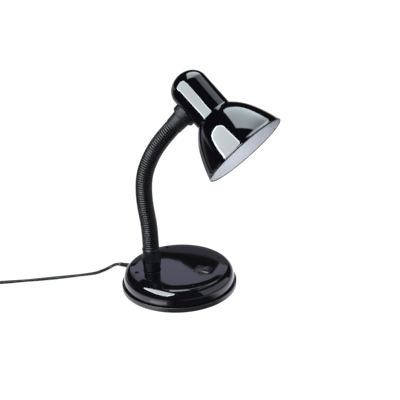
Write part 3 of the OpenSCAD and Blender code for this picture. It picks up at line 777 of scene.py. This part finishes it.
# %% Strain relief
BOOT_X, BOOT_Z = -73 * MM, 10 * MM  # where the boot passes through the wall
BOOT_DROP = 3.3  # degrees that it points down
BOOT = (Matrix.Translation((BOOT_X, 0, BOOT_Z))
        @ Matrix.Rotation(math.radians(-90 - BOOT_DROP), 4, "Y"))
boot_profile = [(CORD_D / 2, -6 * MM), (5 * MM, -6 * MM), (5 * MM, -3.2 * MM), (3.5 * MM, -3.2 * MM),
                (3.5 * MM, 3 * MM)]
for ring in range(5):
    at = (3.4 + ring * 3.1) * MM
    big = (3.48 - 0.045 * at / MM) * MM
    boot_profile += [(big, at), (big, at + 1.5 * MM), (big - 0.7 * MM, at + 1.8 * MM),
                     (big - 0.7 * MM, at + 2.8 * MM)]
boot_profile += [(2.75 * MM, 19.2 * MM), (2.6 * MM, 20 * MM), (CORD_D / 2, 20 * MM)]
boot = place(turned(boot_profile, 40), "strain_relief_skin", cord_black, "base",
             hides=("strain_relief",), where=BOOT)
print("strain relief:", len(boot.data.polygons), "faces")

# %% [markdown]
# ## The neck's foot
# A turned collar stands on the base, and a rolled bead ends the sleeve on top of it. Both are spun
# from short profiles with rounded corners, which give the thin highlights of a moulded edge.

# %% Collar and bead
COLLAR_H = 14 * MM
collar_profile = [(8.6 * MM, 0), (12.6 * MM, 0), (12.8 * MM, 0.3 * MM), (12.45 * MM, 1.3 * MM)]
collar_profile += [(11.25 * MM, 12.8 * MM)] + arc((10.4 * MM, 13.2 * MM), 0.8 * MM, 0, 90, 5)
collar_profile += [(8.6 * MM, COLLAR_H)]
FOOT = Matrix.Translation((NECK_X, 0, BASE_TOP))
collar = place(turned(collar_profile, 96), "neck_collar_skin", fitting_black, "base",
               hides=("neck_collar",), where=FOOT)
bead_profile = [(8.7 * MM, 0), (10.2 * MM, 0)] + arc((10.2 * MM, 1.65 * MM), 1.65 * MM, -90, 90, 12)
bead_profile += [(8.7 * MM, 3.3 * MM)]
bead = place(turned(bead_profile, 96), "neck_bead", neck_black, "base", hides=("sleeve_cuff",),
             where=FOOT @ Matrix.Translation((0, 0, COLLAR_H)))
print("collar and bead:", len(collar.data.polygons) + len(bead.data.polygons), "faces")

# %% [markdown]
# ## The ribbed sleeve
# The sleeve is one flexible tube in life. Here it is cut in the middle of each rigid length,
# where nothing bends. Each piece is spun straight and then laid along the neck's line, so the ribs
# fan out on the outside of the bend by themselves. An attribute keeps how deep each point lies in
# a groove, because handling polishes the crests of the ribs and leaves the grooves dull.

# %% Ribs along the neck
PITCH = 3.02 * MM  # a little wider than the solid's ribs
GROOVE = 1.8 * MM  # depth of a groove
RIB_R = 10.9 * MM
PROUD = 0.08 * MM  # the crests stand that far beyond the radius
RIB_TAPER = 0.35 * MM  # the neck's far end is that much thinner


def rib_profile(start, end, steps=12):
    """Radius along the sleeve: round ribs, like a row of rings, with sharp grooves between them."""
    profile = []
    count = max(1, round((end - start) / PITCH * steps))
    for i in range(count + 1):
        s = start + (end - start) * i / count
        across = 2 * ((s / PITCH) % 1.0) - 1
        crest = RIB_R + PROUD - RIB_TAPER * max(0.0, s) / NECK_LEN
        profile.append((crest - GROOVE * (1 - math.sqrt(1 - across ** 2)), s))
    return profile


def along_neck(bm):
    """Lay a straight bmesh, whose height is the distance along the neck, on the neck's line."""
    frames = {}
    groove = bm.verts.layers.float.new("groove")
    for v in bm.verts:
        v[groove] = min(1.0, max(0.0, (RIB_R - math.hypot(v.co.x, v.co.y)) / GROOVE))
        key = round(v.co.z, 9)
        if key not in frames:
            frames[key] = neck_frame(v.co.z)
        v.co = frames[key] @ Vector((v.co.x, v.co.y, 0))
    return bm


print("ribs:", round(NECK_LEN / PITCH))

# %% [markdown]
# Eight pieces are laid along the neck on no body, and a ninth rides on the head alone. The points
# 5 mm before and after each joint are worked out, but nothing uses them.

# %% Ribbed sleeve
SLEEVE_IN = 8.7 * MM
SLEEVE_START = -1.2 * MM  # the sleeve's end hides in the bead
BLEND_HALF = 5 * MM


def sleeve_piece(number, start, end, body, hides):
    """One length of the sleeve as a piece."""
    profile = rib_profile(start, end) + [(SLEEVE_IN, end), (SLEEVE_IN, start)]
    return place(along_neck(turned(profile, 72)), "ribbed_sleeve_%s" % number, neck_black, body,
                 hides=(hides,), sharp=75)


for k in range(8):
    start = (k - 0.5) * SEGMENT if k else SLEEVE_START
    piece = sleeve_piece(k + 1, start, (k + 0.5) * SEGMENT, None, "sleeve_%d" % (k + 1))
    low = neck_frame(k * SEGMENT - BLEND_HALF if k else SLEEVE_START).translation
    high = neck_frame(k * SEGMENT + BLEND_HALF).translation
    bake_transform(piece)
sleeve_end = sleeve_piece("end", 7.5 * SEGMENT, NECK_LEN, "head", "sleeve_8")
print("sleeve: 9 pieces, the last with", len(sleeve_end.data.polygons), "faces")

# %% [markdown]
# ## The head's fittings
# A ferrule takes the end of the sleeve, and a thick flange behind it is cut to the round of the
# shade's cap, so that the nut inside pulls the two tightly together. The flange is spun too long
# and then a cylinder as wide as the cap cuts its end.

# %% Ferrule and flange
FLANGE_R = 15.2 * MM
FLANGE_END = FERRULE + 13 * MM  # before the cut
ferrule_profile = [(8.5 * MM, 0), (10.5 * MM, 0)] + arc((10.5 * MM, 0.5 * MM), 0.5 * MM, -60, 0, 4)
ferrule_profile += [(11.8 * MM, FERRULE - 0.8 * MM), (11.7 * MM, FERRULE - 0.1 * MM), (11.2 * MM, FERRULE),
                    (6 * MM, FERRULE)]
ferrule = place(turned(ferrule_profile, 96), "ferrule", fitting_black, "head", hides=("neck_ferrule",),
                where=HEAD)
flange_profile = [(5.2 * MM, FERRULE)]
flange_profile += arc((FLANGE_R - 1.4 * MM, FERRULE + 1.4 * MM), 1.4 * MM, -90, 0, 6)
flange_profile += [(FLANGE_R, FLANGE_END), (5.2 * MM, FLANGE_END)]
flange = place(turned(flange_profile, 120), "shade_flange", fitting_black, "head", hides=("head_flange",),
               where=HEAD)
across = Matrix.Rotation(math.radians(90), 4, "Y")
cap_cut = pin(CAP_R + 0.02 * MM, -30 * MM, 30 * MM, steps=160)
bmesh.ops.transform(cap_cut, matrix=HEAD @ Matrix.Translation((0, 0, HEAD_OFFSET)) @ across,
                    verts=cap_cut.verts)
carve(flange, [cap_cut])
print("ferrule and flange:", len(ferrule.data.polygons) + len(flange.data.polygons), "faces")

# %% [markdown]
# ## The shade
# The shade is spun from one sheet: a cylindrical cap with a domed end, a small fillet, then a
# bell of two arcs out to the rim. The arcs meet without a kink, because their radii are worked out
# from the angles at which they meet.

# %% The shade's outline
SHADE_LEN = 121.5 * MM
RIM_R = 54.6 * MM
BELL_TOP = 55.5 * MM  # where the bell gives way to the fillet
BELL_ANGLE, MID_ANGLE, MID_Z = 48, 27, 34.5 * MM
FILLET = 4 * MM
DOME = 20.5 * MM


def sin(degrees):
    return math.sin(math.radians(degrees))


def cos(degrees):
    return math.cos(math.radians(degrees))


def shade_outline(t):
    """The shade's profile from the rim to the top of the dome, moved inwards by t."""
    r1 = (BELL_TOP - MID_Z) / (sin(BELL_ANGLE) - sin(MID_ANGLE))
    mid_r = CAP_R + FILLET * (1 - cos(BELL_ANGLE)) + r1 * (cos(MID_ANGLE) - cos(BELL_ANGLE))
    end_angle = 2 * math.degrees(math.atan((RIM_R - mid_r) / MID_Z)) - MID_ANGLE
    r2 = MID_Z / (sin(MID_ANGLE) - sin(end_angle))
    low = (RIM_R - r2 * cos(end_angle), -r2 * sin(end_angle))
    high = (mid_r - r1 * cos(MID_ANGLE), MID_Z - r1 * sin(MID_ANGLE))
    crease = (CAP_R + FILLET, BELL_TOP + FILLET * sin(BELL_ANGLE))
    line = arc(low, r2 - t, end_angle, MID_ANGLE, 16)
    line += arc(high, r1 - t, MID_ANGLE, BELL_ANGLE, 12)[1:]
    line += arc(crease, FILLET + t, 180 + BELL_ANGLE, 180, 8)[1:]
    dome_z = SHADE_LEN - DOME
    line += [((CAP_R - t), crease[1] + (dome_z - crease[1]) * i / 6) for i in range(1, 6)]
    return line + [((CAP_R - t) * cos(a), dome_z + (DOME - t) * sin(a)) for a in
                   [90 * i / 20 for i in range(21)]]


outside = shade_outline(0)
print("the outline has", len(outside), "points")

# %% [markdown]
# The rim is rolled into a bead, which stiffens the sheet and covers its edge. The outside is gloss
# black and the inside is white enamel, so the two sides take different materials on one piece.

# %% Shade
SHEET = 0.8 * MM
BEAD_R = 1.3 * MM
inside = shade_outline(SHEET)
first_out = next(i for i, p in enumerate(outside) if p[1] > 2.0 * MM)
first_in = next(i for i, p in enumerate(inside) if p[1] > 2.2 * MM)
bead_arc = arc((RIM_R - 0.9 * MM, 0.6 * MM), BEAD_R, 200, 400, 14)
profile = [(max(r, 0), z) for r, z in
           list(reversed(inside[first_in:])) + bead_arc + outside[first_out:]]
bm = turned(profile, 192, closed=False)
for face in bm.faces:
    centre = face.calc_center_median()
    facing_in = face.normal.xy.dot(centre.xy) < 0
    under_dome = face.normal.z < -0.5 and centre.z > 20 * MM
    face.material_index = 1 if under_dome or facing_in and centre.z > 2.0 * MM else 0
shade = place(bm, "shade", [shade_black, enamel_white], "head", hides=("lamp_shade",), where=SHADE,
              sharp=50)
print("shade:", len(shade.data.polygons), "faces")

# %% [markdown]
# ## The switch
# A snap-in rocker switch starts with a bezel round a well. The bezel is one closed body: insetting
# its top with some depth gives it a slope, and its underside is pushed down to make the part inside
# the base.

# %% Switch bezel
bezel = block((21 * MM, 15 * MM, 1.4 * MM), (SWITCH_X, 0, BASE_TOP + 0.7 * MM))
bezel.normal_update()
bezel_top = max(bezel.faces, key=lambda face: face.calc_center_median().z)
underside = min(bezel.faces, key=lambda face: face.calc_center_median().z)
bmesh.ops.inset_region(bezel, faces=[bezel_top], thickness=2.3 * MM, depth=0.6 * MM)
bmesh.ops.inset_region(bezel, faces=[underside], thickness=0.85 * MM)
push(bezel, underside, (0, 0, -12.5 * MM))
bmesh.ops.delete(bezel, geom=[underside], context="FACES_ONLY")
round_edges(bezel, 0.2 * MM)
housing = place(bezel, "switch_bezel", switch_black, "base", hides=("switch_housing",))
carve(housing, [block((17.4 * MM, 9.8 * MM, 20 * MM), (SWITCH_X, 0, BASE_TOP - 1.3 * MM))])
print("bezel:", len(housing.data.polygons), "faces")

# %% [markdown]
# The rocker has two sloping faces that meet in a shallow valley over its pivot. Its side view is
# pushed out to its width, and it stands tilted in the off position.

# %% Rocker
PIVOT_Z = BASE_TOP - 0.6 * MM
ROCKER_TILT = 12
ROCKER_W = 9.4 * MM
ROCKER = (Matrix.Translation((SWITCH_X, 0, PIVOT_Z))
          @ Matrix.Rotation(math.radians(-ROCKER_TILT), 4, "Y"))
side_view = [(-8.2, -1.2), (-7.9, 3.2), (-7.3, 4.1), (-6.5, 4.2), (0, 2.5), (6.5, 4.2), (7.3, 4.1),
             (7.9, 3.2), (8.2, -1.2)]
bm = bmesh.new()
side = bm.faces.new([bm.verts.new((x * MM, -ROCKER_W / 2, z * MM)) for x, z in side_view])
push(bm, side, (0, ROCKER_W, 0))
round_edges(bm, 0.35 * MM)
rocker = place(bm, "rocker_cap", switch_black, "rocker", hides=("switch_rocker",),
               where=ROCKER)
print("rocker:", len(rocker.data.polygons), "faces")

# %% [markdown]
# ## The floor
# The floor is plain and pale. Camera rays get extra glow from it, so that it reads as white while
# the lamp's shadow stays. A gloss black lamp is drawn by what it mirrors, so mirror rays see another
# floor. It is bright beside the foot, apart from the front right, and a quarter as bright further
# out, apart from the front left.

# %% Floor
FLOOR_GREY, CAMERA_GLOW = 0.25, 0.9
NEAR_GLOW, FAR_GLOW, PALE_GLOW, REST_GLOW = 2.0, 0.5, 2.5, 0.04
REACH = (0.13, 0.22)  # where the floor beside the foot ends
PALE_SPOT = (0.003, -0.091, 0)  # a brighter strip that the wall mirrors

ground = Finish("floor", (FLOOR_GREY, FLOOR_GREY, FLOOR_GREY), 0.8)
ground.set("Specular IOR Level", 0.0)
ground.set("Emission Color", (1, 1, 1, 1))
ground.set("Emission Strength", ground.ray("Is Camera Ray") * CAMERA_GLOW)
spot = ground.place()
heading = ground.vector("NORMALIZE", spot)
far = ground.rise(ground.vector("LENGTH", spot, output=1), *REACH)


def fall(vector, direction, low, high):
    """1 where the vector reaches less than low in a direction, 0 beyond high."""
    return 1 - ground.rise(ground.dot(vector, direction), low, high)


near_glow = fall(heading, (0.68, -0.73, 0), 0.74, 0.93)
far_glow = fall(heading, (-0.5, -0.866, 0), 0.30, 0.60)
aside = ground.vector("ABSOLUTE", ground.vector("SUBTRACT", spot, PALE_SPOT))
pale = fall(aside, (1, 0, 0), 0.0162, 0.018) * fall(aside, (0, 1, 0), 0.0063, 0.007)
mirrored = (far * far_glow * FAR_GLOW + (1 - far) * (near_glow * NEAR_GLOW + pale * PALE_GLOW)
            + REST_GLOW)
glow = ground.node("ShaderNodeEmission", {}, {"Color": (0.90, 0.88, 1.0, 1), "Strength": mirrored})
both = ground.node("ShaderNodeMixShader", {}, {
    0: ground.in_mirror(), 1: Wire(ground, ground.shader.outputs[0]), 2: glow})
ground.tree.links.new(both.socket, ground.tree.nodes["Material Output"].inputs["Surface"])
bm = bmesh.new()
bmesh.ops.create_grid(bm, x_segments=1, y_segments=1, size=8)
floor = place(bm, "floor", ground.material, None)
print("floor grey", FLOOR_GREY)

# %% [markdown]
# ## The world
# The even light of the world does most of the lighting. Mirror rays see a darker studio instead,
# with a pale backdrop low behind the lamp.

# %% World
AWAY = (-0.454, 0.891, 0)  # level direction in which the camera looks
DAYLIGHT, STUDIO_DARK = 0.55, 0.015
bpy.context.scene.view_settings.view_transform = "Standard"
world = bpy.data.worlds.new("world")
world.use_nodes = True
bpy.context.scene.world = world
sky = Web(world.node_tree)
look = sky.node("ShaderNodeTexCoord", {}, {}, "Generated")
behind = sky.rise(sky.dot(look, AWAY), 0.0, 0.5)
backdrop = behind * (1 - sky.rise(sky.dot(look, (0, 0, 1)), -0.02, 0.12))
in_mirror = sky.in_mirror()
brightness = (DAYLIGHT + sky.ray("Is Camera Ray") * (1 - DAYLIGHT)
              + in_mirror * (backdrop + (STUDIO_DARK - DAYLIGHT)))
background = world.node_tree.nodes["Background"]
background.inputs["Color"].default_value = (0.96, 0.98, 1.0, 1)
world.node_tree.links.new(brightness.socket, background.inputs["Strength"])
print("daylight", DAYLIGHT)

# %% [markdown]
# ## Light cards
# Gloss black shows nothing of its own, so its highlights are the mirror images of glowing cards. An
# emissive card is better than a lamp here, because its outline can be drawn point by point and only
# mirrors see it, so it doesn't overexpose what is matt.

# %% Cards
def glow_of(name, strength, colour):
    """An emissive finish. The strength may be a function of the web it is made in."""
    finish = bpy.data.materials.new(name)
    finish.use_nodes = True
    finish.node_tree.nodes.clear()
    web = Web(finish.node_tree)
    glow = web.node("ShaderNodeEmission", {}, {
        "Color": (*colour, 1), "Strength": strength(web) if callable(strength) else strength})
    end = finish.node_tree.nodes.new("ShaderNodeOutputMaterial")
    finish.node_tree.links.new(glow.socket, end.inputs["Surface"])
    return finish


def card(name, corners, strength, colour=(1, 1, 1), border=None):
    """A flat glowing card that only mirrors see. Its border is a width and a strength."""
    finishes = [glow_of(name, strength, colour)]
    bm = bmesh.new()
    bm.faces.new([bm.verts.new(c) for c in corners])
    if border:
        finishes.append(glow_of(name + "_border", border[1], colour))
        bmesh.ops.recalc_face_normals(bm, faces=bm.faces)
        rim = bmesh.ops.inset_region(bm, faces=bm.faces[:], thickness=border[0], use_boundary=True)
        for face in rim["faces"]:
            face.material_index = 1
    made = place(bm, name, finishes, None)
    made.visible_camera = made.visible_diffuse = made.visible_shadow = False
    made.visible_transmission = made.visible_volume_scatter = False


print("finishes before the cards:", len(bpy.data.materials))

# %% [markdown]
# The clean windows of light on cap, bell and base mirror a soft box that stands close at the left
# of the camera. It has a brighter border, which edges each window in white. A dimmer card hangs
# overhead. Its glow falls off to the right.

# %% Soft box and overhead card
OVERHEAD_Z = 0.9


def upright(azimuth, distance, origin=(0, 0)):
    """An upright plane at a distance in a direction: gives the point at (across, height)."""
    a = math.radians(azimuth)
    middle = Vector((origin[0] + distance * math.cos(a), origin[1] + distance * math.sin(a), 0))
    across = Vector((math.sin(a), -math.cos(a), 0))
    return lambda s, z: middle + across * s * MM + Vector((0, 0, z * MM))


key_plane = upright(-118, 0.3, (0.03, -0.02))
card("key_card", [key_plane(s, z) for s, z in (
    (-160, 200), (10, 212), (50, 240), (117, 258), (165, 280), (215, 305), (240, 340), (240, 560),
    (150, 690), (-66, 625), (-250, 585), (-245, 400), (-185, 300))], 14.5, (0.88, 0.965, 1.0), (0.022, 32))


def overhead_strength(web):
    """Bright at the left and dim at the right."""
    return 7.5 - web.rise(web.dot(web.place(), (1, 0, 0)), 0.05, 0.32) * 5.6


card("overhead_card", [(x * MM, y * MM, OVERHEAD_Z) for x, y in (
    (-90, -215), (31, -125), (125, -45), (314, 105), (354, 80), (430, 20), (430, 720), (363, 745),
    (320, 841), (182, 877), (-20, 800), (-180, 650), (-330, 480), (-390, 330), (-346, 214), (-231, 60),
    (-150, -60), (-120, -130))], overhead_strength, (0.82, 0.93, 1.0))
print("soft box and overhead card hung")

# %% [markdown]
# A pair of dark blue cards stands low behind the lamp and shows in the top of the base. The gap
# between them is drawn in the outline of the neck and shade: a painted reflection of them, dark in
# the top of the base. A grey card at the right shows in its shoulder.

# %% Back and side cards
back_plane = upright(118, 0.2)
# The top edge of this card and the lower edge of the next leave a gap that paints the neck's and shade's
# reflection.
card("back_card_low", [back_plane(s, z) for s, z in (
    (-120, 30), (140, 30), (150, 130), (64, 130), (54, 123), (39, 116), (15, 111), (-34, 105),
    (-120, 100))], 0.3, (0.80, 0.77, 1.0))
card("back_card_high", [back_plane(s, z) for s, z in (
    (-120, 115), (-21, 119), (-2, 125), (6, 132), (14, 138), (30, 150), (50, 150), (64, 130), (150, 130),
    (125, 165), (100, 201), (73, 220), (37, 200), (14, 180), (-3, 176), (-20, 170), (-36, 158),
    (-60, 172), (-120, 215))], 1.08, (0.74, 0.72, 1.0))

side_plane = upright(15, 0.25, (0.06, -0.02))
card("side_card", [side_plane(s, z) for s, z in (
    (170, 35), (170, 370), (90, 335), (-20, 270), (-150, 225), (-250, 160), (-250, 35))],
     1.4, (0.80, 0.85, 1.0))

# %% [markdown]
# ## Lamps
# Two soft lamps add direction to the daylight. They stay out of the mirrors, where the cards
# stand in for them. They are large, because small ones would draw hard shadows.

# %% Lamps
def soft_lamp(name, location, aim, size, radiance):
    """A square area lamp of a given radiance, facing a point."""
    lamp = bpy.data.lights.new(name, "AREA")
    lamp.size = size
    lamp.energy = radiance * math.pi * size * size
    made = bpy.data.objects.new(name, lamp)
    made.location = location
    made.rotation_euler = (Vector(aim) - Vector(location)).to_track_quat("-Z", "Y").to_euler()
    made.visible_glossy = False
    bpy.context.scene.collection.objects.link(made)


soft_lamp("key_lamp", (-0.5, -1.2, 1.2), (0, 0, 0.12), 1.0, 2.8)
soft_lamp("fill_lamp", (1.1, -0.9, 0.35), (0.08, 0, 0.2), 1.0, 3.6)

# %% [markdown]
